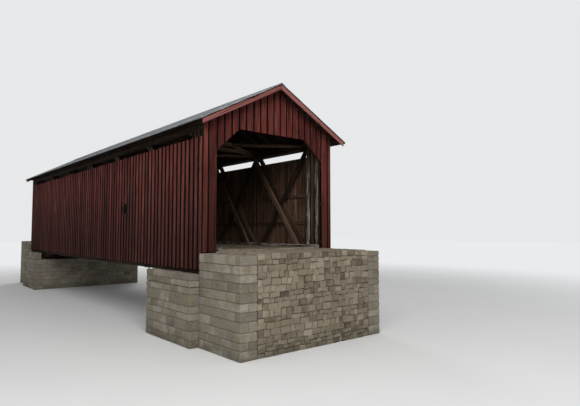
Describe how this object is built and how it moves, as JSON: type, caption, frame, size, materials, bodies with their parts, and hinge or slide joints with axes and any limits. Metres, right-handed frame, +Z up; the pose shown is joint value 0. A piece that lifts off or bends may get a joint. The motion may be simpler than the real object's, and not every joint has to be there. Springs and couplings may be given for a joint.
{
  "type": "covered bridge",
  "caption": "Timber truss covered bridge with red board walls, open light strips, bevelled portals, a gable roof of grey shingles and stone abutments.",
  "frame": {"origin": "under the middle of the span, level with the foot of the masonry", "axes": "+Z up, +Y along the roadway from the near portal to the far portal, +X across to the right side"},
  "size_m": [6.6, 27.3, 8.8726],
  "materials": {
    "red_board": "sawn boards in flat barn red, weathered, with dark open joints",
    "red_trim": "sawn board in a lighter, faded barn red",
    "dark_timber": "rough sawn timber, dark brown with age",
    "brace_timber": "rough sawn timber, brown and dry",
    "pale_timber": "weathered timber, grey with flaking pale wash",
    "deck_plank": "worn plank floor, dusty grey brown",
    "lath": "thin sawn lath, brown",
    "shingle": "weathered cedar shingles, cold grey",
    "iron": "dark iron with dull rust",
    "stone": "coursed limestone blocks in pale mortar",
    "rubble": "packed rubble and gravel"
  },
  "bodies": {
    "root": {"near_abutment": "stone", "far_abutment": "stone", "cheek_walls": "stone", "wing_walls": "stone", "approach_fills": "rubble", "bed_timbers": "dark_timber", "bolsters": "dark_timber", "left_bottom_chord": "dark_timber", "right_bottom_chord": "dark_timber", "left_top_chord": "dark_timber", "right_top_chord": "dark_timber", "left_main_braces": "brace_timber", "right_main_braces": "brace_timber", "left_counter_braces": "brace_timber", "right_counter_braces": "brace_timber", "tie_rods": "iron", "rod_plates": "iron", "left_angle_blocks": "brace_timber", "right_angle_blocks": "brace_timber", "end_posts": "pale_timber", "floor_beams": "dark_timber", "floor_joists": "dark_timber", "deck": "deck_plank", "wheel_guards": "pale_timber", "lower_laterals": "dark_timber", "tie_beams": "dark_timber", "upper_laterals": "brace_timber", "portal_knees": "dark_timber", "portal_nailers": "dark_timber", "left_girts": "brace_timber", "right_girts": "brace_timber", "left_siding": "red_board", "right_siding": "red_board", "near_jambs": "red_board", "far_jambs": "red_board", "near_gable": "red_board", "far_gable": "red_board", "rafters": "dark_timber", "ridge_board": "dark_timber", "roof_lath": "lath", "left_roof": "shingle", "right_roof": "shingle", "ridge_cap": "shingle", "rake_boards": "red_trim", "eave_boards": "dark_timber"}
  },
  "joints": []
}
